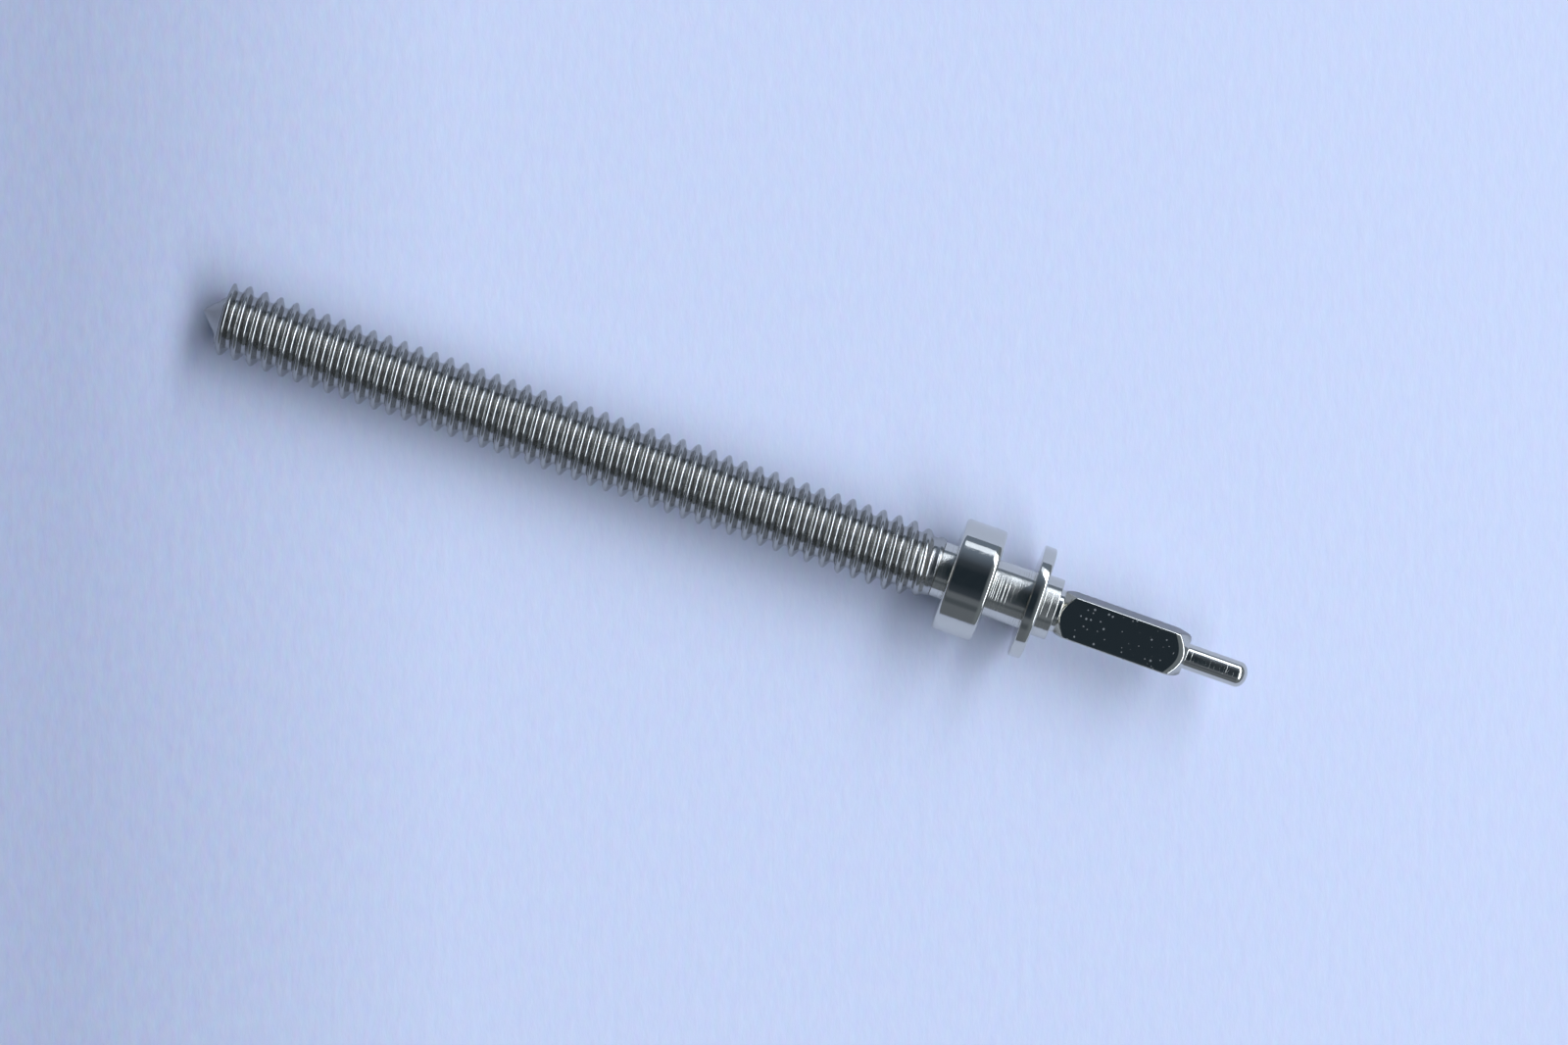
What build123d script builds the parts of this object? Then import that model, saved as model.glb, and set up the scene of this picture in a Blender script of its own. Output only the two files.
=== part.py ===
from build123d import *
from math import ceil, radians, tan
import os

# A winding stem for a mechanical watch: a slim shaft of hardened steel. The crown screws onto its long thread, the
# collar turns in the movement's plate, the setting lever sits in the groove, the winding pinion turns on the neck,
# the clutch wheel slides on the square, and the pilot runs in the inner end of the plate's hole.
# The real stem is turned from one rod. Each turned section is a solid here, and neighbours meet face to face.
# Lengths are in millimetres. The axis lies along X, from the point at the crown's end to the pilot at the inner end,
# and the origin is the middle of the bearing collar.

# Crown thread, right-handed, with a turned point in front that is slimmer than the thread's root
thread_diameter = 0.925
thread_pitch = 0.20
thread_length = 9.49  # from the tip of the point to the relief
thread_half_angle = 30.0
crest_share = 0.15  # width of the crest, of the pitch
depth_share = 0.5325  # depth of the thread, of the pitch
first_crest = 0.108  # from the tip to the middle of the crest above the axis
point_half_angle = 48.0
point_base_diameter = 0.57
run_out_length = 0.39  # the last turns, where the crests get lower
run_out_diameter = 0.74  # over the crests where the thread ends

# Relief between the thread and the collar
relief_diameter = 0.69
relief_length = 0.16

# Bearing collar
collar_diameter = 1.42
collar_length = 0.52
collar_outer_rounding = 0.05
collar_inner_rounding = 0.06

# Groove for the setting lever, and the thin flange on its inner side
groove_diameter = 0.72
groove_length = 0.48
flange_diameter = 1.42
flange_length = 0.16
flange_outer_rounding = 0.02
flange_inner_rounding = 0.03

# Round neck, and the undercut behind the square
neck_diameter = 0.77
neck_length = 0.21
undercut_diameter = 0.52
undercut_length = 0.06

# Square for the clutch wheel, milled on a round of the corners' diameter
square_across_flats = 0.54
square_corner_diameter = 0.742
square_length = 1.62
square_end_diameter = 0.50  # of its end face, inside the cone
square_roll = 7.5  # of the flats about the axis
chamfer_angle = 41.0  # of the cones at both ends of the square, from the axis

# Pilot
pilot_diameter = 0.32
pilot_length = 0.80
pilot_dome = 0.136  # length of its domed end

overrun = 0.10  # by which a cutting shape reaches past what it cuts

# Places of the sections along the axis
collar_start = -collar_length / 2
groove_start = collar_length / 2
flange_start = groove_start + groove_length
neck_start = flange_start + flange_length
undercut_start = neck_start + neck_length
square_start = undercut_start + undercut_length
square_end = square_start + square_length
pilot_end = square_end + pilot_length
relief_start = collar_start - relief_length
tip = relief_start - thread_length

# Thread sizes that follow from the ones above
crest_radius = thread_diameter / 2
thread_depth = depth_share * thread_pitch
root_radius = crest_radius - thread_depth
crest_width = crest_share * thread_pitch
flank_width = thread_depth * tan(radians(thread_half_angle))
point_base = tip + point_base_diameter / 2 / tan(radians(point_half_angle))

os.makedirs("parts", exist_ok=True)


def helix(radius, start):
    """One right-handed turn about the X axis, from above the axis at x = start."""
    return Edge.make_helix(thread_pitch, thread_pitch, radius, center=(start, 0, 0), normal=(1, 0, 0))


def thread_profile(start):
    """Corners (x, radius) of one pitch of the thread: crest, flank, root, flank."""
    return [
        (start, crest_radius),
        (start + crest_width, crest_radius),
        (start + crest_width + flank_width, root_radius),
        (start + thread_pitch - flank_width, root_radius),
        (start + thread_pitch, crest_radius),
    ]


def thread_turn(start):
    """The helical faces of one turn: crest, flank, root, flank."""
    edges = [helix(radius, x) for x, radius in thread_profile(start)]
    return [Face.make_surface_from_curves(one, two) for one, two in zip(edges, edges[1:])]


def thread_cap(start):
    """Two faces that close the thread before the turn at start: a helicoid to the axis, and the profile above it."""
    middle = Edge.make_line((start, 0, 0), (start + thread_pitch, 0, 0))
    helicoid = Face.make_surface_from_curves(middle, helix(crest_radius, start))
    corners = [(x, 0, radius) for x, radius in thread_profile(start)]
    step = Face(Wire.make_polygon([(start, 0, 0), *corners, (start + thread_pitch, 0, 0)], close=True))
    return [helicoid, step]


def threaded_rod(end):
    """A closed threaded rod from before the tip to past end, whose crests lie on the helix set by first_crest."""
    first = tip + first_crest - crest_width / 2 - thread_pitch
    turns = ceil((end - first) / thread_pitch) + 1
    faces = thread_cap(first) + thread_cap(first + turns * thread_pitch)
    for turn in range(turns):
        faces += thread_turn(first + turn * thread_pitch)
    return Solid(Shell(faces))


rod = threaded_rod(relief_start)

# Point: a plain cone whose base stands on the thread's flat end
with BuildPart() as point_cone:
    with BuildSketch(Plane.XZ):
        with BuildLine():
            Polyline((tip, 0), (point_base, point_base_diameter / 2), (point_base, 0), close=True)
        make_face()
    revolve(axis=Axis.X)
point_cone.part.label = "point_cone"
export_step(point_cone.part, "parts/point_cone.step")

# Crown thread: faced off flat behind the point, and its last turns get lower
with BuildPart() as crown_thread:
    add(rod, clean=False)
    cut_radius = crest_radius + overrun
    faced_length = point_base - tip + thread_pitch + overrun
    with BuildSketch(Plane.YZ.offset(point_base)):
        Circle(cut_radius)
    extrude(amount=-faced_length, mode=Mode.SUBTRACT, clean=False)
    run_out_drop = crest_radius - run_out_diameter / 2
    run_out_start = relief_start - run_out_length * (1 + overrun / run_out_drop)
    cut_end = relief_start + 3 * thread_pitch + overrun  # past the rod's last turn and its cap
    with BuildSketch(Plane.XZ):
        with BuildLine():
            Polyline(
                (run_out_start, cut_radius),
                (relief_start, run_out_diameter / 2),
                (relief_start, 0),
                (cut_end, 0),
                (cut_end, cut_radius),
                close=True,
            )
        make_face()
    revolve(axis=Axis.X, mode=Mode.SUBTRACT, clean=False)
crown_thread.part.label = "crown_thread"
export_step(crown_thread.part, "parts/crown_thread.step")

# Relief where the thread ends
with BuildPart() as thread_relief:
    with BuildSketch(Plane.YZ.offset(relief_start)):
        Circle(relief_diameter / 2)
    extrude(amount=relief_length)
thread_relief.part.label = "thread_relief"
export_step(thread_relief.part, "parts/thread_relief.step")

# Bearing collar, with both rims rounded
with BuildPart() as bearing_collar:
    with BuildSketch(Plane.YZ.offset(collar_start)):
        Circle(collar_diameter / 2)
    extrude(amount=collar_length)
    rims = bearing_collar.edges().filter_by(GeomType.CIRCLE).sort_by(Axis.X)
    fillet(rims[0], radius=collar_outer_rounding)
    rims = bearing_collar.edges().filter_by(GeomType.CIRCLE).sort_by(Axis.X)
    fillet(rims[-1], radius=collar_inner_rounding)
bearing_collar.part.label = "bearing_collar"
export_step(bearing_collar.part, "parts/bearing_collar.step")

# Floor of the groove that the setting lever's pin sits in
with BuildPart() as setting_lever_groove:
    with BuildSketch(Plane.YZ.offset(groove_start)):
        Circle(groove_diameter / 2)
    extrude(amount=groove_length)
setting_lever_groove.part.label = "setting_lever_groove"
export_step(setting_lever_groove.part, "parts/setting_lever_groove.step")

# Thin flange that takes the setting lever's push
with BuildPart() as lever_flange:
    with BuildSketch(Plane.YZ.offset(flange_start)):
        Circle(flange_diameter / 2)
    extrude(amount=flange_length)
    rims = lever_flange.edges().filter_by(GeomType.CIRCLE).sort_by(Axis.X)
    fillet(rims[0], radius=flange_outer_rounding)
    rims = lever_flange.edges().filter_by(GeomType.CIRCLE).sort_by(Axis.X)
    fillet(rims[-1], radius=flange_inner_rounding)
lever_flange.part.label = "lever_flange"
export_step(lever_flange.part, "parts/lever_flange.step")

# Round neck for the winding pinion
with BuildPart() as pinion_neck:
    with BuildSketch(Plane.YZ.offset(neck_start)):
        Circle(neck_diameter / 2)
    extrude(amount=neck_length)
pinion_neck.part.label = "pinion_neck"
export_step(pinion_neck.part, "parts/pinion_neck.step")

# Undercut that the flats run out into
with BuildPart() as square_undercut:
    with BuildSketch(Plane.YZ.offset(undercut_start)):
        Circle(undercut_diameter / 2)
    extrude(amount=undercut_length)
square_undercut.part.label = "square_undercut"
export_step(square_undercut.part, "parts/square_undercut.step")

# Square, milled on a round whose ends are turned to cones
with BuildPart() as clutch_square:
    with BuildSketch(Plane.YZ.offset(square_start)):
        Rectangle(square_across_flats, square_across_flats, rotation=square_roll)
    extrude(amount=square_length)
    chamfer_slope = tan(radians(chamfer_angle))
    corner_radius = square_corner_diameter / 2
    start_cone = (corner_radius - undercut_diameter / 2) / chamfer_slope
    end_cone = (corner_radius - square_end_diameter / 2) / chamfer_slope
    with BuildSketch(Plane.XZ):
        with BuildLine():
            Polyline(
                (square_start, 0),
                (square_start, undercut_diameter / 2),
                (square_start + start_cone, corner_radius),
                (square_end - end_cone, corner_radius),
                (square_end, square_end_diameter / 2),
                (square_end, 0),
                close=True,
            )
        make_face()
    revolve(axis=Axis.X, mode=Mode.INTERSECT)
clutch_square.part.label = "clutch_square"
export_step(clutch_square.part, "parts/clutch_square.step")

# Pilot with its domed end
with BuildPart() as pilot_pin:
    pilot_radius = pilot_diameter / 2
    dome_radius = (pilot_radius**2 + pilot_dome**2) / (2 * pilot_dome)
    with BuildSketch(Plane.XZ):
        with BuildLine():
            dome = RadiusArc((pilot_end - pilot_dome, pilot_radius), (pilot_end, 0), dome_radius)
            Polyline(dome @ 1, (square_end, 0), (square_end, pilot_radius), dome @ 0)
        make_face()
    revolve(axis=Axis.X)
pilot_pin.part.label = "pilot_pin"
export_step(pilot_pin.part, "parts/pilot_pin.step")
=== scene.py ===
import math
import random

import bmesh
import bpy
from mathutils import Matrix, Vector, noise


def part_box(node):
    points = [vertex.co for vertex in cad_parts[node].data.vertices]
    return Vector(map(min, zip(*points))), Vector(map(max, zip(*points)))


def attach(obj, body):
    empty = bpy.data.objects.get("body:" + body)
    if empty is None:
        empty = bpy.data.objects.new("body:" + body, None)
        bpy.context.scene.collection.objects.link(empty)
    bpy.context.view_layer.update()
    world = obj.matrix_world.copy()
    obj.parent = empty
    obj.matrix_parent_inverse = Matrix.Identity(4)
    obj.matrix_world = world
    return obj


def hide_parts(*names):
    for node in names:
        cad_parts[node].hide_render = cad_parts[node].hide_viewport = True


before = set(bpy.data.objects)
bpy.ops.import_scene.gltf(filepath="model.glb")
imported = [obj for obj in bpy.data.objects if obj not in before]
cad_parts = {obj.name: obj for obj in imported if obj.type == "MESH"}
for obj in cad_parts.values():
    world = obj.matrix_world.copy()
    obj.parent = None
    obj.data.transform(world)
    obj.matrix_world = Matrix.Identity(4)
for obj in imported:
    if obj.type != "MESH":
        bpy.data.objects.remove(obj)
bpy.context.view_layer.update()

# The camera hangs straight above the stem, far enough off to show it nearly without perspective. The stem
# runs from its point at the upper left down to its pilot at the right, 19 degrees off level.
mm = 0.001
image_width_px = 1600
focal_length_px = 6000
mm_per_px = 0.01196
stem_slope = math.radians(19.41)
view_centre = Vector((-2.363, -0.094, 0)) * mm
camera_data = bpy.data.cameras.new("camera")
camera_data.sensor_width = 36
camera_data.lens = focal_length_px * camera_data.sensor_width / image_width_px
camera_data.clip_start = 1 * mm
camera_data.clip_end = 10
camera = bpy.data.objects.new("camera", camera_data)
camera.location = view_centre + Vector((0, 0, focal_length_px * mm_per_px * mm))
camera.rotation_euler = (0, 0, stem_slope)
bpy.context.scene.collection.objects.link(camera)
bpy.context.scene.camera = camera
bpy.context.scene.view_settings.view_transform = "Standard"

# The paper that the stem lies on is a smooth white sheet, whose fibres run up and down the picture. The
# stem rests on its collar and on the end of its thread, which is slimmer, so the sheet slopes a little up
# towards the point.
sheet_half_width = 300 * mm
sheet_step = 0.5 * mm
sheet_steps = 60
coarse_lines = [60 * mm, 120 * mm, sheet_half_width]
collar_low, collar_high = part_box("bearing_collar")
thread_low, thread_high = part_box("crown_thread")
sheet_rise = collar_high.y - thread_high.y
rise_end = thread_low.x - 1.0 * mm
rise_foot = -25 * mm
fall_share = 0.8
rise_half_width = 4 * mm
rise_fade = 12 * mm


def smooth_step(t):
    """A share from 0 to 1 that starts and ends level."""
    t = min(max(t, 0), 1)
    return t * t * (3 - 2 * t)


def sheet_height(x, y):
    """Height of the paper: one slope past the collar and the thread's end, and level again far off."""
    if x > rise_end:
        along = max((collar_low.x - x) / (collar_low.x - rise_end), -fall_share)
    else:
        along = smooth_step((x - rise_foot) / (rise_end - rise_foot))
    across = 1 - smooth_step((abs(y) - rise_half_width) / rise_fade)
    return -collar_high.y + sheet_rise * along * across


fine_lines = [sheet_step * i for i in range(-sheet_steps, sheet_steps + 1)]
sheet_lines = [-x for x in reversed(coarse_lines)] + fine_lines + coarse_lines
sheet_mesh = bpy.data.meshes.new("paper")
row_length = len(sheet_lines)
sheet_mesh.from_pydata(
    [(x, y, sheet_height(x, y)) for x in sheet_lines for y in sheet_lines],
    [],
    [
        (i * row_length + j, (i + 1) * row_length + j, (i + 1) * row_length + j + 1, i * row_length + j + 1)
        for i in range(row_length - 1)
        for j in range(row_length - 1)
    ],
)
sheet_mesh.shade_smooth()
paper = bpy.data.objects.new("paper", sheet_mesh)
bpy.context.scene.collection.objects.link(paper)


def add_node(tree, kind, links=None, **settings):
    """Adds a node to a tree, with its settings, and its inputs linked from sockets or set to values."""
    made = tree.nodes.new(kind)
    for name, value in settings.items():
        setattr(made, name, value)
    for name, value in (links or {}).items():
        if isinstance(value, bpy.types.NodeSocket):
            tree.links.new(value, made.inputs[name])
        else:
            made.inputs[name].default_value = value
    return made


def linear(hex_colour):
    """An sRGB hex colour as the linear red, green, blue and alpha that a socket takes."""
    parts = [int(hex_colour[i:i + 2], 16) / 255 for i in (1, 3, 5)]
    return [c / 12.92 if c <= 0.04045 else ((c + 0.055) / 1.055) ** 2.4 for c in parts] + [1]


# White wove paper is matt, looks a little blue in the window's light and has faint streaks of fibre. The
# sheet's colour darkens towards the picture's left edge, as in the photograph; that darkening is painted
# shade.
fibre_width = 0.11 * mm
fibre_length = 0.26 * mm
fibre_share = 0.11
fibre_height = 0.01 * mm
shade_darkest_at = -12.0 * mm
shade_ends_at = 7.0 * mm
painted_shade_sheet = "#AEB3C5"
painted_half_shade_sheet = "#CACFDF"
unshaded_sheet = "#D2D7E7"
# A mix node has sockets for every kind of value. These are the places of its share and its colours.
mix_share = 0
mix_first = 6
mix_second = 7
mix_result = 2
paper_finish = bpy.data.materials.new("white_wove_paper")
paper_finish.use_nodes = True
tree = paper_finish.node_tree
shader = tree.nodes["Principled BSDF"]
place = add_node(tree, "ShaderNodeTexCoord")
turned = add_node(
    tree,
    "ShaderNodeMapping",
    {"Vector": place.outputs["Object"], "Rotation": (0, 0, -stem_slope)},
    vector_type="POINT",
)
streaks = add_node(
    tree,
    "ShaderNodeMapping",
    {"Vector": turned.outputs["Vector"], "Scale": (1 / fibre_width, 1 / fibre_length, 1)},
)
fibre = add_node(
    tree,
    "ShaderNodeTexNoise",
    {"Vector": streaks.outputs["Vector"], "Scale": 1.0, "Detail": 3.0, "Roughness": 0.6},
    noise_dimensions="2D",
)
shade_at = add_node(tree, "ShaderNodeSeparateXYZ", {"Vector": turned.outputs["Vector"]})
# Painted shade: the sheet's colour runs from its darkest at the left edge to its unshaded tone at the right.
painted_shade_ramp_share = add_node(
    tree,
    "ShaderNodeMapRange",
    {
        "Value": shade_at.outputs["X"],
        "From Min": shade_darkest_at,
        "From Max": shade_ends_at,
        "To Min": 0.0,
        "To Max": 1.0,
    },
)
sheet_tone_with_painted_shade = add_node(tree, "ShaderNodeValToRGB", {"Fac": painted_shade_ramp_share.outputs[0]})
painted_shade_ramp = sheet_tone_with_painted_shade.color_ramp
painted_shade_ramp.elements[0].position = 0.05
painted_shade_ramp.elements[0].color = linear(painted_shade_sheet)
painted_shade_ramp.elements[1].position = 1.0
painted_shade_ramp.elements[1].color = linear(unshaded_sheet)
painted_shade_ramp.elements.new(0.3).color = linear(painted_half_shade_sheet)
fibre_tone = add_node(
    tree,
    "ShaderNodeMix",
    {mix_share: fibre_share, mix_first: sheet_tone_with_painted_shade.outputs["Color"], mix_second: fibre.outputs["Color"]},
    data_type="RGBA",
    blend_type="OVERLAY",
)
tree.links.new(fibre_tone.outputs[mix_result], shader.inputs["Base Color"])
fibre_bump = add_node(
    tree,
    "ShaderNodeBump",
    {"Height": fibre.outputs[0], "Strength": 0.4, "Distance": fibre_height},
)
tree.links.new(fibre_bump.outputs["Normal"], shader.inputs["Normal"])
shader.inputs["Roughness"].default_value = 0.9
shader.inputs["Specular IOR Level"].default_value = 0.2
sheet_mesh.materials.append(paper_finish)

# The light is one wide window beyond the pilot, nearly square to the stem, and dimmer at its far end. The
# rest of the room is dim, with a dark ceiling right above the stem, a paler recess round the window and
# paler walls low down.
window_azimuth = math.radians(10.75)
window_distance = 200 * mm
window_light = (0.91, 1.0, 1.19)
toward_window = Vector((math.cos(window_azimuth), math.sin(window_azimuth), 0))
along_window = Vector((-math.sin(window_azimuth), math.cos(window_azimuth), 0))
# Each pane has its start and end along the window, and its sill and head, as shares of the window's
# distance, and then its brightness.
panes = (
    ("pane_right", -1.7, 0.3, 1.14, 2.39, 6.2),
    ("pane_near", 0.3, 2.4, 1.14, 2.39, 9.3),
    ("pane_middle", 2.4, 4.0, 1.14, 2.39, 4.0),
    ("pane_far", 4.0, 5.6, 1.15, 2.22, 1.1),
)
for name, start_share, end_share, sill_share, head_share, brightness in panes:
    lamp_data = bpy.data.lights.new(name, "AREA")
    lamp_data.shape = "RECTANGLE"
    lamp_data.size = (end_share - start_share) * window_distance
    lamp_data.size_y = (head_share - sill_share) * window_distance
    lamp_data.energy = brightness * math.pi * lamp_data.size * lamp_data.size_y
    lamp_data.color = window_light
    lamp = bpy.data.objects.new(name, lamp_data)
    middle_share = (start_share + end_share) / 2
    height_share = (sill_share + head_share) / 2
    lamp.location = (
        toward_window * window_distance
        + along_window * middle_share * window_distance
        + Vector((0, 0, height_share * window_distance))
    )
    lamp.rotation_euler = (math.pi / 2, 0, window_azimuth + math.pi / 2)
    bpy.context.scene.collection.objects.link(lamp)

room = bpy.data.worlds.new("room")
bpy.context.scene.world = room
room.use_nodes = True
tree = room.node_tree
background = tree.nodes["Background"]
place = add_node(tree, "ShaderNodeTexCoord")
toward = add_node(tree, "ShaderNodeSeparateXYZ", {"Vector": place.outputs["Generated"]})
lean = add_node(
    tree,
    "ShaderNodeMath",
    {0: toward.outputs["Y"], 1: toward.outputs["Z"]},
    operation="ARCTAN2",
)
lean_share = add_node(
    tree,
    "ShaderNodeMapRange",
    {"Value": lean.outputs[0], "From Min": -math.pi, "From Max": math.pi, "To Min": 0.0, "To Max": 1.0},
)
wall_tone = add_node(tree, "ShaderNodeValToRGB", {"Fac": lean_share.outputs[0]})
wall_ramp = wall_tone.color_ramp
pale_wall = (0.36, 0.41, 0.52, 1)
grey_wall = (0.155, 0.18, 0.225, 1)
strip_shade = (0.09, 0.11, 0.14, 1)
dim_ceiling = (0.05, 0.065, 0.09, 1)
dark_ceiling = (0.02, 0.032, 0.047, 1)
lit_wall = (0.185, 0.24, 0.345, 1)
wall_ramp.elements[0].position = 0.0
wall_ramp.elements[0].color = pale_wall
wall_ramp.elements[1].position = 1.0
wall_ramp.elements[1].color = pale_wall
# The degrees lean from straight up, which is 0, to the stem's two sides: +Y at 90 and -Y at -90.
for degrees, colour in (
    (-98, pale_wall),
    (-88, grey_wall),
    (-62, grey_wall),
    (-56, strip_shade),
    (-50, strip_shade),
    (-44, grey_wall),
    (-37, grey_wall),
    (-31, dim_ceiling),
    (-13, dark_ceiling),
    (16, dark_ceiling),
    (31, dim_ceiling),
    (59, lit_wall),
    (88, lit_wall),
    (98, pale_wall),
):
    wall_ramp.elements.new((degrees + 180) / 360).color = colour
# Along the stem the room changes by how far a direction points to +X: first the window's recess, then the
# end walls, one beyond the pilot and one beyond the point.
recess_starts = 0.085
recess_full = 0.15
end_wall_starts = 0.70
end_wall_full = 0.85
window_recess = (0.19, 0.225, 0.27, 1)
pilot_end_wall = (0.20, 0.235, 0.30, 1)
point_end_wall = (0.13, 0.14, 0.16, 1)
room_tone = wall_tone.outputs["Color"]
for starts, full, end_tone in (
    (recess_starts, recess_full, window_recess),
    (end_wall_starts, end_wall_full, pilot_end_wall),
    (-end_wall_starts, -end_wall_full, point_end_wall),
):
    end_share = add_node(
        tree,
        "ShaderNodeMapRange",
        {"Value": toward.outputs["X"], "From Min": starts, "From Max": full, "To Min": 0.0, "To Max": 1.0},
    )
    end_wall = add_node(
        tree,
        "ShaderNodeMix",
        {mix_share: end_share.outputs[0], mix_first: room_tone, mix_second: end_tone},
        data_type="RGBA",
    )
    room_tone = end_wall.outputs[mix_result]
tree.links.new(room_tone, background.inputs["Color"])

# The point in front of the thread is part of one rod of hardened carbon steel, as every section behind it
# is. It is turned to a cone, and its very tip is a little blunt.
point_low, point_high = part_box("point_cone")
point_angle = math.atan2(point_high.y, point_high.x - point_low.x)
blunting = 0.02 * mm
blunt_middle = point_low.x + blunting / math.sin(point_angle)
blunt_end = 90 + math.degrees(point_angle)
blunt_steps = 6
cloud_size = 0.12 * mm
least_cloud = 0.3
most_cloud = 0.7
quarter_turn = 0.25
sharp_angle = math.radians(25)
ease_length = 0.002 * mm
least_eased = 5 * ease_length


def steel(name, tint, worn_tint, edge_tint, roughness, rough_spread, grain, wave_depth):
    """A bare steel finish, whose tool marks run round the X axis.

    The edge tint is what it reflects at a glancing angle. The grain is how much wider its gloss is along the
    axis than round it. The wave depth is how far the surface swells and sinks.
    """
    finish = bpy.data.materials.new(name)
    finish.use_nodes = True
    tree = finish.node_tree
    shader = tree.nodes["Principled BSDF"]
    shader.inputs["Metallic"].default_value = 1.0
    shader.inputs["Specular Tint"].default_value = linear(edge_tint)
    shader.inputs["Anisotropic"].default_value = grain
    shader.inputs["Anisotropic Rotation"].default_value = quarter_turn
    around = add_node(tree, "ShaderNodeTangent", direction_type="RADIAL", axis="X")
    tree.links.new(around.outputs[0], shader.inputs["Tangent"])
    place = add_node(tree, "ShaderNodeTexCoord")
    clouds = add_node(
        tree,
        "ShaderNodeTexNoise",
        {"Vector": place.outputs["Object"], "Scale": 1 / cloud_size, "Detail": 3.0, "Roughness": 0.6},
    )
    tone = add_node(
        tree,
        "ShaderNodeMix",
        {mix_share: clouds.outputs[0], mix_first: linear(tint), mix_second: linear(worn_tint)},
        data_type="RGBA",
    )
    tree.links.new(tone.outputs[mix_result], shader.inputs["Base Color"])
    gloss = add_node(
        tree,
        "ShaderNodeMapRange",
        {
            "Value": clouds.outputs[0],
            "From Min": least_cloud,
            "From Max": most_cloud,
            "To Min": roughness - rough_spread,
            "To Max": roughness + rough_spread,
        },
    )
    tree.links.new(gloss.outputs[0], shader.inputs["Roughness"])
    waves = add_node(
        tree,
        "ShaderNodeBump",
        {"Height": clouds.outputs[0], "Strength": 1.0, "Distance": wave_depth},
    )
    tree.links.new(waves.outputs[0], shader.inputs["Normal"])
    return finish


def add_piece(name, mesh_maker, finish, node):
    """Makes an object from a bmesh, gives it a finish, and lets it stand for a node on the stem's body."""
    mesh = bpy.data.meshes.new(name)
    mesh_maker.to_mesh(mesh)
    mesh_maker.free()
    mesh.shade_smooth()
    mesh.set_sharp_from_angle(angle=sharp_angle)
    mesh.materials.append(finish)
    piece = bpy.data.objects.new(name, mesh)
    bpy.context.scene.collection.objects.link(piece)
    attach(piece, "root")
    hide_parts(node)


def arc(centre_x, centre_r, radius, start_degrees, end_degrees, steps):
    """Outline points (x, r) on an arc. Degrees turn from +X towards the outside of the stem."""
    points = []
    for i in range(steps + 1):
        a = math.radians(start_degrees + (end_degrees - start_degrees) * i / steps)
        points.append((centre_x + radius * math.cos(a), centre_r + radius * math.sin(a)))
    return points


def eased(outline):
    """The outline with a point near each end of its long straight lines, which then shade as straight."""
    points = [outline[0]]
    for (x0, r0), (x1, r1) in zip(outline, outline[1:]):
        length = math.hypot(x1 - x0, r1 - r0)
        if length > least_eased:
            share = ease_length / length
            points.append((x0 + (x1 - x0) * share, r0 + (r1 - r0) * share))
            points.append((x1 - (x1 - x0) * share, r1 - (r1 - r0) * share))
        points.append((x1, r1))
    return points


def revolve(outline, sides=160):
    """Turns an outline of points (x, r) about the X axis. Its first and last points are on the axis."""
    made = bmesh.new()
    rings = []
    for x, r in eased(outline):
        if r == 0:
            rings.append([made.verts.new((x, 0, 0))])
        else:
            angles = [2 * math.pi * k / sides for k in range(sides)]
            rings.append([made.verts.new((x, r * math.cos(a), r * math.sin(a))) for a in angles])
    for one, two in zip(rings, rings[1:]):
        for k in range(sides):
            n = (k + 1) % sides
            if len(one) == 1:
                made.faces.new((one[0], two[n], two[k]))
            elif len(two) == 1:
                made.faces.new((one[k], one[n], two[0]))
            else:
                made.faces.new((one[k], one[n], two[n], two[k]))
    bmesh.ops.recalc_face_normals(made, faces=made.faces)
    return made


# Hardened carbon steel takes a warm, rather dark reflection. Its finishes differ in how the tool left them.
# Here the die leaves fine scratches, which spread the thread's highlights into soft lines and dull its
# flanks. This finish also has a darker tint than the other steel finishes, which darkens the thread all over,
# and the point is given it too, so it is as dull.
cut_steel = steel(
    "die_cut_steel",
    tint="#ADACA6",
    worn_tint="#A7A6A1",
    edge_tint="#EEEEEE",
    roughness=0.20,
    rough_spread=0.03,
    grain=0.9,
    wave_depth=0.0001 * mm,
)
outline = [
    (blunt_middle - blunting, 0),
    *arc(blunt_middle, 0, blunting, 180, blunt_end, blunt_steps)[1:],
    (point_high.x, point_high.y),
    (point_high.x, 0),
]
add_piece("turned_point", revolve(outline), cut_steel, "point_cone")

# The crown's thread is cut in the steel with a die and polished after it, which leaves round crests and
# roots between steep flanks. Its first turn is lower, where it was faced off, and its last two get lower
# towards the relief.
pitch = 0.20 * mm
first_crest = 0.108 * mm
crest_radius = thread_high.y
depth_share = 0.5325
thread_depth = depth_share * pitch
root_radius = crest_radius - thread_depth
flank_tilt = math.radians(62)
crest_rounding = 0.031 * mm
root_rounding = 0.028 * mm
run_out = 0.39 * mm
run_out_radius = 0.37 * mm
lead_in = 0.10 * mm
lead_in_share = 0.7
turn_steps = 56
crest_steps = 8
root_steps = 6
spare_turns = 2
weld_distance = 1e-9
# The die left a small lip just below each crest, on the side towards the point. It shows as a second bright
# line beside the crest's. Its points are shares of its width and height.
lip_below = 0.013 * mm
lip_width = 0.005 * mm
lip_height = 0.0013 * mm
lip_shares = ((0, 0), (0.35, 0.15), (0.85, 1.0), (1.15, 0.85))
# The die's scratches are of two kinds. The broad ones are wider and deeper than the fine ones by these
# factors, and are drawn from another place in the noise.
streak_width = 0.014 * mm
streak_length = 0.5 * mm
streak_depth = 0.0003 * mm
broad_width_factor = 4
broad_depth_factor = 1.5
broad_offset = 31


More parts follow.
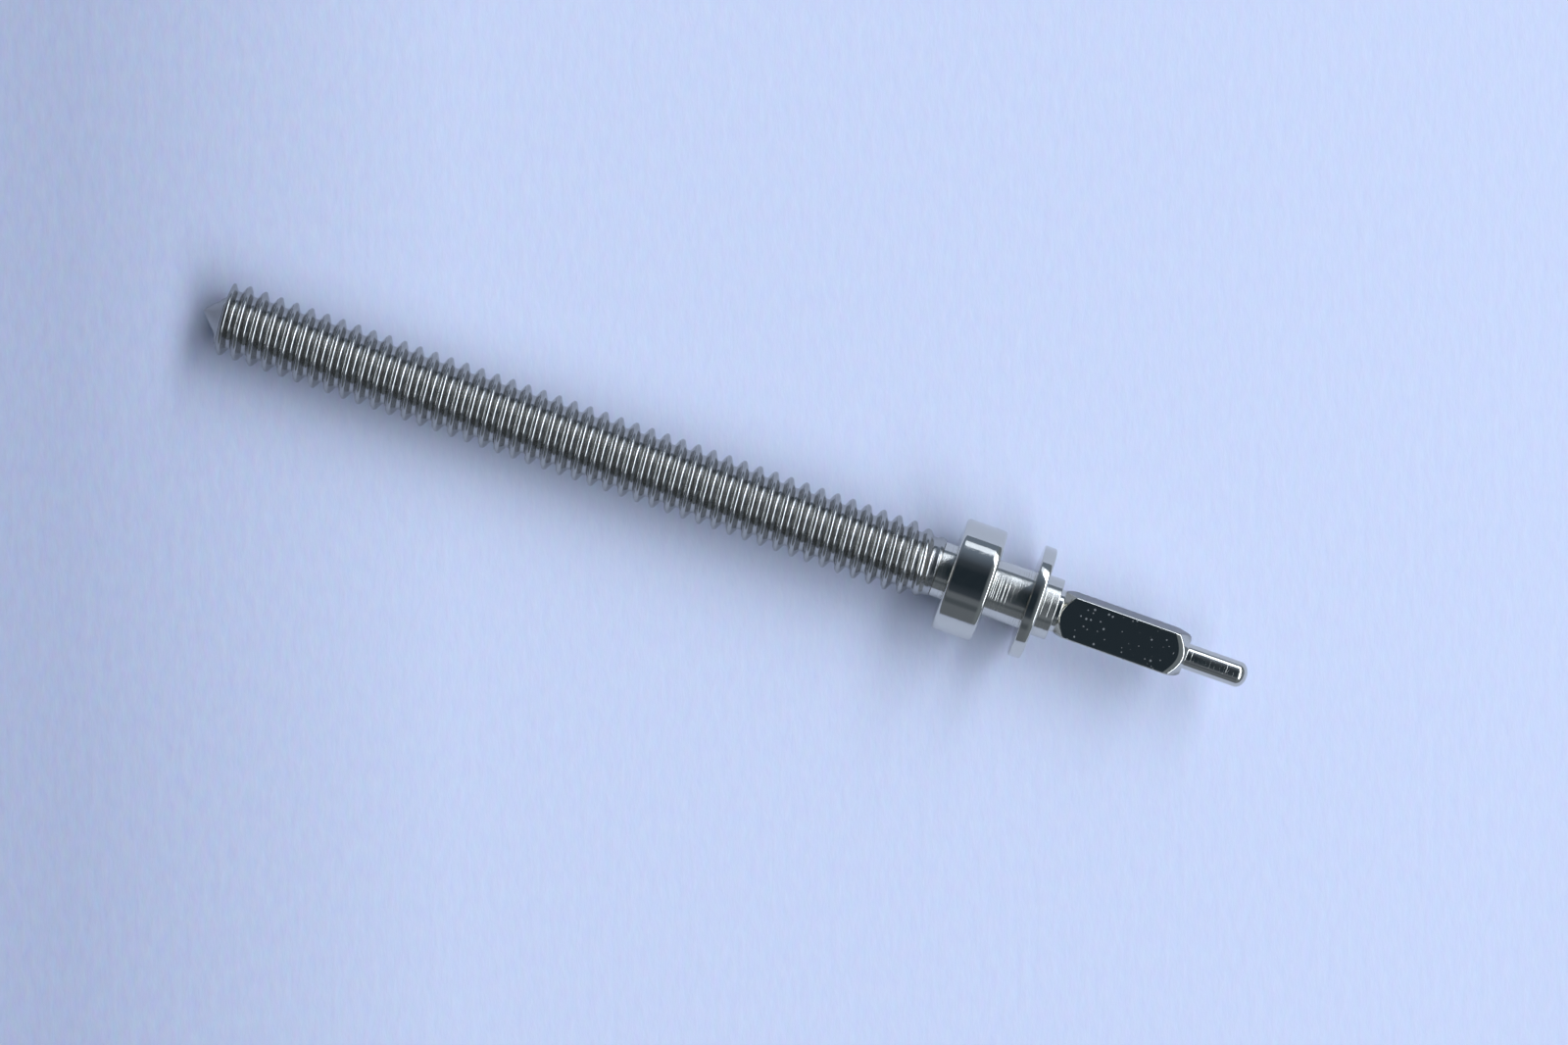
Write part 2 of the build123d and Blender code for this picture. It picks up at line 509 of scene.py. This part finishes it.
def thread_outline():
    """One pitch of the thread as points (x, r), from the middle of a crest to just before the next one."""
    half = []
    for i in range(crest_steps + 1):
        tilt = flank_tilt * i / crest_steps
        half.append((crest_rounding * math.sin(tilt), crest_radius - crest_rounding * (1 - math.cos(tilt))))
    arcs_depth = (crest_rounding + root_rounding) * (1 - math.cos(flank_tilt))
    arcs_width = (crest_rounding + root_rounding) * math.sin(flank_tilt)
    floor_start = arcs_width + (thread_depth - arcs_depth) / math.tan(flank_tilt)
    for i in range(root_steps + 1):
        tilt = flank_tilt * (1 - i / root_steps)
        x = floor_start - root_rounding * math.sin(tilt)
        half.append((x, root_radius + root_rounding * (1 - math.cos(tilt))))
    half.append((pitch / 2, root_radius))
    flank_x, flank_r = half[crest_steps]
    lip_x = flank_x + lip_below / math.tan(flank_tilt)
    lip_r = flank_r - lip_below
    other = half[1:-1]
    other[crest_steps:crest_steps] = [
        (lip_x + lip_width * along, lip_r + lip_height * up) for along, up in lip_shares
    ]
    return half + [(pitch - x, r) for x, r in reversed(other)]


def thread_height_share(x):
    """The thread's height as a share of the full one: it is lower at the start and over the last turns."""
    end_share = (run_out_radius - root_radius) / thread_depth
    at_end = end_share + (1 - end_share) * max(thread_high.x - x, 0) / run_out
    at_start = lead_in_share + (1 - lead_in_share) * max(x - thread_low.x, 0) / lead_in
    return min(at_start, at_end, 1)


def scratch_depth(x, a, r):
    """Depth of the fine scratches that the die leaves, which run along the thread."""
    along = a / (2 * math.pi)
    lead = x - pitch * along
    turn = Vector((math.cos(a), math.sin(a))) * r / streak_length
    fine = noise.noise((lead / streak_width, turn.x, turn.y))
    broad = noise.noise((lead / (broad_width_factor * streak_width), turn.x + broad_offset, turn.y))
    return abs(streak_depth * (fine + broad_depth_factor * broad))


def cut_thread():
    """The thread's turns, cut off flat at both ends and closed there."""
    made = bmesh.new()
    outline = thread_outline()
    rows = len(outline)
    # The first crest's place is on top of the stem, a quarter turn on from where the angle is 0.
    first = point_low.x + first_crest - pitch / 4 - spare_turns * pitch
    turns = math.ceil((thread_high.x - first) / pitch) + spare_turns
    verts = []
    for step in range((turns + 1) * turn_steps + 1):
        a = 2 * math.pi * step / turn_steps
        for dx, r in outline:
            x = first + pitch * step / turn_steps + dx
            r = root_radius + (r - root_radius) * thread_height_share(x) - scratch_depth(x, a, r)
            verts.append(made.verts.new((x, r * math.cos(a), r * math.sin(a))))
    for step in range(turns * turn_steps):
        for row in range(rows):
            here = step * rows + row
            above = here + 1 if row < rows - 1 else (step + turn_steps) * rows
            made.faces.new((verts[here], verts[here + rows], verts[above + rows], verts[above]))
    for x, side in ((thread_low.x, -1), (thread_high.x, 1)):
        bmesh.ops.bisect_plane(
            made,
            geom=made.verts[:] + made.edges[:] + made.faces[:],
            plane_co=(x, 0, 0),
            plane_no=(side, 0, 0),
            clear_outer=True,
            dist=weld_distance,
        )
    loose = [v for v in made.verts if not v.link_faces]
    bmesh.ops.delete(made, geom=loose, context="VERTS")
    rims = [e for e in made.edges if e.is_boundary]
    bmesh.ops.edgeloop_fill(made, edges=rims)
    bmesh.ops.recalc_face_normals(made, faces=made.faces)
    return made


add_piece("cut_thread", cut_thread(), cut_steel, "crown_thread")

# Behind the thread a short plain relief in the same steel lets the die run out. It is turned with a coarse
# feed, which leaves a few rings on it.
relief_low, relief_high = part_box("thread_relief")
relief_chamfer = 0.01 * mm
relief_feed = 0.05 * mm
relief_drop = 0.0010 * mm
relief_uneven_share = 0.3
ring_fall_angle = math.radians(16)
ring_seed = 7
draws = random.Random(ring_seed)
# No ring is begun in less room than this share of the feed. A ring's points past its foot are shares of the
# width and the depth of its fall.
least_ring_share = 0.4
ring_shares = ((-1, 0.1), (0, 0), (0.15, 0.08), (0.9, 0.96))


def ringed(start, end, radius, feed, drop, uneven_share, draws):
    """Outline of a turned surface: rings as wide as the feed, which rise slowly and drop at the far edge."""
    points = []
    x = start
    while x < end - feed * least_ring_share:
        width = min(feed * draws.uniform(1 - uneven_share, 1 + uneven_share), end - x)
        depth = drop * draws.uniform(1 - uneven_share, 1)
        fall = depth / math.tan(ring_fall_angle)
        edge = x + width - fall
        points.append((x, radius - depth))
        points += [(edge + fall * along, radius - depth * down) for along, down in ring_shares]
        x += width
    return points


# The turning tool's marks run round the stem, so a highlight is wide along the axis and narrow across it.
turned_steel = steel(
    "turned_steel",
    tint="#CDCBC1",
    worn_tint="#C8C5BA",
    edge_tint="#FFFFFF",
    roughness=0.16,
    rough_spread=0.03,
    grain=0.9,
    wave_depth=0.0003 * mm,
)
outline = [
    (relief_low.x, 0),
    (relief_low.x, relief_high.y - relief_chamfer),
    *ringed(
        relief_low.x + relief_chamfer,
        relief_high.x,
        relief_high.y,
        relief_feed,
        relief_drop,
        relief_uneven_share,
        draws,
    ),
    (relief_high.x, relief_high.y),
    (relief_high.x, 0),
]
add_piece("turned_relief", revolve(outline), turned_steel, "thread_relief")

# The bearing collar turns in the movement's plate. It is turned from the rod and burnished, its outer rim
# is rounded, and the inner one is worn to a slight slope that ends in a smaller rounding.
outer_rim = 0.05 * mm
inner_rim = 0.036 * mm
worn_run = 0.05 * mm
worn_start = math.radians(1.5)
worn_end = math.radians(5)
worn_steps = 8
rim_steps = 12
rim_sides = 200
# An outline has a point this far out on each flat face, so that the face shades as flat.
face_share = 0.75


def slope_fall(share, run, start_slope, end_slope):
    """How far a slope has fallen at a share of its run, when it steepens evenly from its start to its end."""
    return run * (start_slope * share + (end_slope - start_slope) * share**2 / 2)


def worn_rim(face_x, radius, rounding, run):
    """Outline points (x, r) of a rim that faces +X: a slope that steepens over the run, then the rounding."""
    start = face_x - rounding * (1 - math.sin(worn_end)) - run
    points = []
    for i in range(worn_steps + 1):
        share = i / worn_steps
        points.append((start + run * share, radius - slope_fall(share, run, worn_start, worn_end)))
    middle = points[-1][1] - rounding * math.cos(worn_end)
    return points[:-1] + arc(face_x - rounding, middle, rounding, 90 - math.degrees(worn_end), 0, rim_steps)


# Burnishing closes the marks and leaves a slightly wavy mirror, in which dark room and window stand apart.
burnished_steel = steel(
    "burnished_steel",
    tint="#CDCBC1",
    worn_tint="#C9C7BD",
    edge_tint="#FFFFFF",
    roughness=0.065,
    rough_spread=0.03,
    grain=0.0,
    wave_depth=0.0004 * mm,
)
outline = [
    (collar_low.x, 0),
    (collar_low.x, collar_high.y * face_share),
    *arc(collar_low.x + outer_rim, collar_high.y - outer_rim, outer_rim, 180, 90, rim_steps),
    *worn_rim(collar_high.x, collar_high.y, inner_rim, worn_run),
    (collar_high.x, collar_high.y * face_share),
    (collar_high.x, 0),
]
add_piece("burnished_collar", revolve(outline, rim_sides), burnished_steel, "bearing_collar")

# The floor of the setting lever's groove is turned steel, and shows the marks of the parting tool as fine
# rings. The real ones are about 0.03 mm wide, and they are drawn a little coarser so that they still show
# in a picture of the whole stem.
groove_low, groove_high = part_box("setting_lever_groove")
groove_feed = 0.042 * mm
groove_drop = 0.0014 * mm
groove_uneven_share = 0.5
outline = [
    (groove_low.x, 0),
    *ringed(
        groove_low.x,
        groove_high.x,
        groove_high.y,
        groove_feed,
        groove_drop,
        groove_uneven_share,
        draws,
    ),
    (groove_high.x, groove_high.y),
    (groove_high.x, 0),
]
add_piece("turned_groove", revolve(outline), turned_steel, "setting_lever_groove")

# The thin flange beside the groove is turned and burnished as the collar is, and its rim has worn to a
# slight crown between two roundings, of which the one towards the square is larger.
flange_low, flange_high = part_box("lever_flange")
flange_outer_rim = 0.02 * mm
flange_inner_rim = 0.029 * mm
outer_rim_steps = 8
crown_inset = 0.06 * mm
crown_radius = 1.2 * mm
crown_steps = 16
crown_x = flange_low.x + crown_inset
crown_r = flange_high.y - crown_radius
outer_reach = crown_radius - flange_outer_rim
inner_reach = crown_radius - flange_inner_rim
outer_tilt = math.degrees(math.asin((crown_x - flange_low.x - flange_outer_rim) / outer_reach))
inner_tilt = math.degrees(math.asin((flange_high.x - flange_inner_rim - crown_x) / inner_reach))
outer_middle = crown_r + outer_reach * math.cos(math.radians(outer_tilt))
inner_middle = crown_r + inner_reach * math.cos(math.radians(inner_tilt))
outer_x = flange_low.x + flange_outer_rim
inner_x = flange_high.x - flange_inner_rim
outline = [
    (flange_low.x, 0),
    (flange_low.x, flange_high.y * face_share),
    *arc(outer_x, outer_middle, flange_outer_rim, 180, 90 + outer_tilt, outer_rim_steps),
    *arc(crown_x, crown_r, crown_radius, 90 + outer_tilt, 90 - inner_tilt, crown_steps)[1:-1],
    *arc(inner_x, inner_middle, flange_inner_rim, 90 - inner_tilt, 0, rim_steps),
    (flange_high.x, flange_high.y * face_share),
    (flange_high.x, 0),
]
add_piece("burnished_flange", revolve(outline, rim_sides), burnished_steel, "lever_flange")

# The winding pinion turns on this neck of turned steel. The tool left two coarse rings on it, and its edge
# towards the square is broken.
neck_low, neck_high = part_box("pinion_neck")
first_ring = 0.039 * mm
second_ring = 0.0855 * mm
ring_drop = 0.0007 * mm
neck_rounding = 0.012 * mm
neck_steps = 8
ring_edge = neck_low.x + first_ring
rings_end = ring_edge + second_ring
outline = [
    (neck_low.x, 0),
    *ringed(neck_low.x, ring_edge, neck_high.y, first_ring, ring_drop, 0, draws),
    *ringed(ring_edge, rings_end, neck_high.y, second_ring, ring_drop, 0, draws),
    (rings_end, neck_high.y - ring_drop),
    *arc(neck_high.x - neck_rounding, neck_high.y - neck_rounding, neck_rounding, 90, 0, neck_steps),
    (neck_high.x, 0),
]
add_piece("turned_neck", revolve(outline), turned_steel, "pinion_neck")

# A narrow undercut in the steel lets the milling cutter run out behind the square. It is turned with a
# round-nosed tool, which leaves its floor deepest where it meets the square.
undercut_low, undercut_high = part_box("square_undercut")
undercut_nose = 0.009 * mm
nose_steps = 12
nose_middle = undercut_high.y + undercut_nose
# A finer cut gives the slim parts a narrower and brighter highlight.
fine_turned_steel = steel(
    "fine_turned_steel",
    tint="#CDCBC1",
    worn_tint="#C8C5BA",
    edge_tint="#FFFFFF",
    roughness=0.065,
    rough_spread=0.015,
    grain=0.9,
    wave_depth=0.0001 * mm,
)
outline = [
    (undercut_low.x, 0),
    (undercut_low.x, nose_middle),
    *arc(undercut_high.x, nose_middle, undercut_nose, 180, 270, nose_steps),
    (undercut_high.x, 0),
]
add_piece("turned_undercut", revolve(outline), fine_turned_steel, "square_undercut")

# The square that the clutch wheel slides on has four milled and polished flats on a round of the steel,
# with a cone at each end. Polishing has softened its edges, and lets the flats fall a little towards their
# inner end.
square_low, square_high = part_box("clutch_square")
half_flats = 0.54 / 2 * mm
corner_radius = 0.742 / 2 * mm
square_roll = math.radians(7.5)
end_radius = 0.25 * mm
cone_angle = math.radians(41)
edge_rounding = 0.011 * mm
end_rounding = 0.036 * mm
polish_run = 0.06 * mm
polish_start = math.radians(3)
polish_end = math.radians(8)
flat_steps = 24
edge_steps = 5
cone_steps = 8
polish_steps = 8
end_steps = 10
# A flat has one more point this far out on each side, so that it shades as flat.
flat_share = 0.992
# The turning tool's marks are left only on the corners, past this share of the way out to the round.
mark_feed = 0.03 * mm
mark_depth = 0.0005 * mm
mark_steps = 4
marks_share = 0.75


def square_section():
    """Points (y, z) round the square: each flat, its rounded edges and half of the round to the next flat."""
    half_width = math.sqrt(corner_radius**2 - half_flats**2)
    bend = math.atan2(half_width, half_flats)
    flat_end = half_width - edge_rounding * math.tan(bend / 2)
    flat = [-1, -flat_share, *[2 * k / flat_steps - 1 for k in range(1, flat_steps)], flat_share, 1]
    side = [(-flat_end * s, half_flats) for s in flat]
    for i in range(1, edge_steps + 1):
        a = bend * i / edge_steps
        y = flat_end + edge_rounding * math.sin(a)
        z = half_flats - edge_rounding * (1 - math.cos(a))
        side.append((-y, z))
        side.insert(0, (y, z))
    side.append((-corner_radius * math.sin(math.pi / 4), corner_radius * math.cos(math.pi / 4)))
    points = []
    for quarter in range(4):
        a = quarter * math.pi / 2 + square_roll
        points += [(y * math.cos(a) - z * math.sin(a), y * math.sin(a) + z * math.cos(a)) for y, z in side]
    return points


def square_places(r):
    """Points (x, r) along the square where its section is r out: cone, rounding, flat, rounding, cone."""
    tangent = end_rounding * math.tan(cone_angle / 2)
    start = square_low.x + (r - undercut_high.y) / math.tan(cone_angle) + tangent
    end = square_high.x - (r - end_radius) / math.tan(cone_angle) - tangent
    flat_end = end - polish_run
    places = [(square_low.x, undercut_high.y)]
    for i in range(cone_steps + 1):
        a = cone_angle * (1 - i / cone_steps)
        places.append((start - end_rounding * math.sin(a), r - end_rounding * (1 - math.cos(a))))
    corner_share = (r - half_flats) / (corner_radius - half_flats)
    marked = min(max((corner_share - marks_share) / (1 - marks_share), 0), 1)
    flat_places = round((square_high.x - square_low.x) / mark_feed) * mark_steps
    for i in range(1, flat_places):
        x = start + (flat_end - start) * i / flat_places
        places.append((x, r - mark_depth * marked * math.sin(math.pi * i / mark_steps) ** 2))
    start_slope = math.tan(polish_start)
    end_slope = math.tan(polish_end)
    for i in range(polish_steps + 1):
        share = i / polish_steps
        fall = slope_fall(share, polish_run, start_slope, end_slope)
        places.append((flat_end + polish_run * share, r - fall))
    full_fall = slope_fall(1, polish_run, start_slope, end_slope)
    for i in range(1, end_steps + 1):
        a = polish_end + (cone_angle - polish_end) * i / end_steps
        x = end + end_rounding * (math.sin(a) - math.sin(polish_end))
        places.append((x, r - full_fall - end_rounding * (math.cos(polish_end) - math.cos(a))))
    places.append((square_high.x, end_radius - full_fall))
    return places


def mill_square():
    """The square as one closed mesh, with a row of points along it for each point of its section."""
    made = bmesh.new()
    rows = []
    for y, z in square_section():
        r = math.hypot(y, z)
        rows.append([made.verts.new((x, q * y / r, q * z / r)) for x, q in square_places(r)])
    for k, one in enumerate(rows):
        two = rows[(k + 1) % len(rows)]
        for i in range(len(one) - 1):
            made.faces.new((one[i], two[i], two[i + 1], one[i + 1]))
    made.faces.new([row[0] for row in rows])
    made.faces.new([row[-1] for row in rows])
    bmesh.ops.recalc_face_normals(made, faces=made.faces)
    return made


# The flats are milled and polished to the clearest mirror, which is nearly black where it shows the
# ceiling. It reflects less at a glancing angle, as on the narrow flat at the side.
milled_steel = steel(
    "milled_steel",
    tint="#CDCBC1",
    worn_tint="#C9C7BD",
    edge_tint="#B0B0B0",
    roughness=0.05,
    rough_spread=0.015,
    grain=0.0,
    wave_depth=0.0002 * mm,
)
# Dust lies on the flats as pale specks of a few hundredths of a millimetre, which show against the dark
# reflection. A share of the places has none, and the largest grain fills a share of its place.
dust_spacing = 0.06 * mm
no_dust_share = 0.15
largest_dust_share = 0.32
dust_tone = "#6F7981"
tree = milled_steel.node_tree
shader = tree.nodes["Principled BSDF"]
place = add_node(tree, "ShaderNodeTexCoord")
dust = add_node(tree, "ShaderNodeTexVoronoi", {"Vector": place.outputs["Object"], "Scale": 1 / dust_spacing})
dust_draw = add_node(tree, "ShaderNodeSeparateColor", {"Color": dust.outputs["Color"]})
dust_size = add_node(
    tree,
    "ShaderNodeMapRange",
    {
        "Value": dust_draw.outputs["Red"],
        "From Min": no_dust_share,
        "From Max": 1.0,
        "To Min": 0.0,
        "To Max": largest_dust_share,
    },
)
dust_share = add_node(
    tree,
    "ShaderNodeMapRange",
    {
        "Value": dust.outputs["Distance"],
        "From Min": dust_size.outputs[0],
        "From Max": 0.0,
        "To Min": 0.0,
        "To Max": 1.0,
    },
)
bare_tone = shader.inputs["Base Color"].links[0].from_socket
dusty = add_node(
    tree,
    "ShaderNodeMix",
    {mix_share: dust_share.outputs[0], mix_first: bare_tone, mix_second: linear(dust_tone)},
    data_type="RGBA",
)
tree.links.new(dusty.outputs[mix_result], shader.inputs["Base Color"])
metal_share = add_node(tree, "ShaderNodeMath", {0: 1.0, 1: dust_share.outputs[0]}, operation="SUBTRACT")
tree.links.new(metal_share.outputs[0], shader.inputs["Metallic"])
add_piece("milled_square", mill_square(), milled_steel, "clutch_square")

# The pilot runs in the inner end of the plate's hole. It is finely turned from the steel, with a small
# fillet at its root and a domed end.
pilot_low, pilot_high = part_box("pilot_pin")
root_fillet = 0.012 * mm
fillet_steps = 8
pilot_feed = 0.05 * mm
pilot_drop = 0.0001 * mm
pilot_uneven_share = 0.5
dome = 0.12 * mm
dome_steps = 16
fillet_x = pilot_low.x + root_fillet
fillet_r = pilot_high.y + root_fillet
dome_x = pilot_high.x - dome
outline = [
    (pilot_low.x, 0),
    (pilot_low.x, fillet_r),
    *arc(fillet_x, fillet_r, root_fillet, 180, 270, fillet_steps)[1:-1],
    *ringed(fillet_x, dome_x, pilot_high.y, pilot_feed, pilot_drop, pilot_uneven_share, draws),
]
for i in range(dome_steps):
    a = math.pi / 2 * i / dome_steps
    outline.append((dome_x + dome * math.sin(a), pilot_high.y * math.cos(a)))
outline.append((pilot_high.x, 0))
add_piece("domed_pilot", revolve(outline), fine_turned_steel, "pilot_pin")
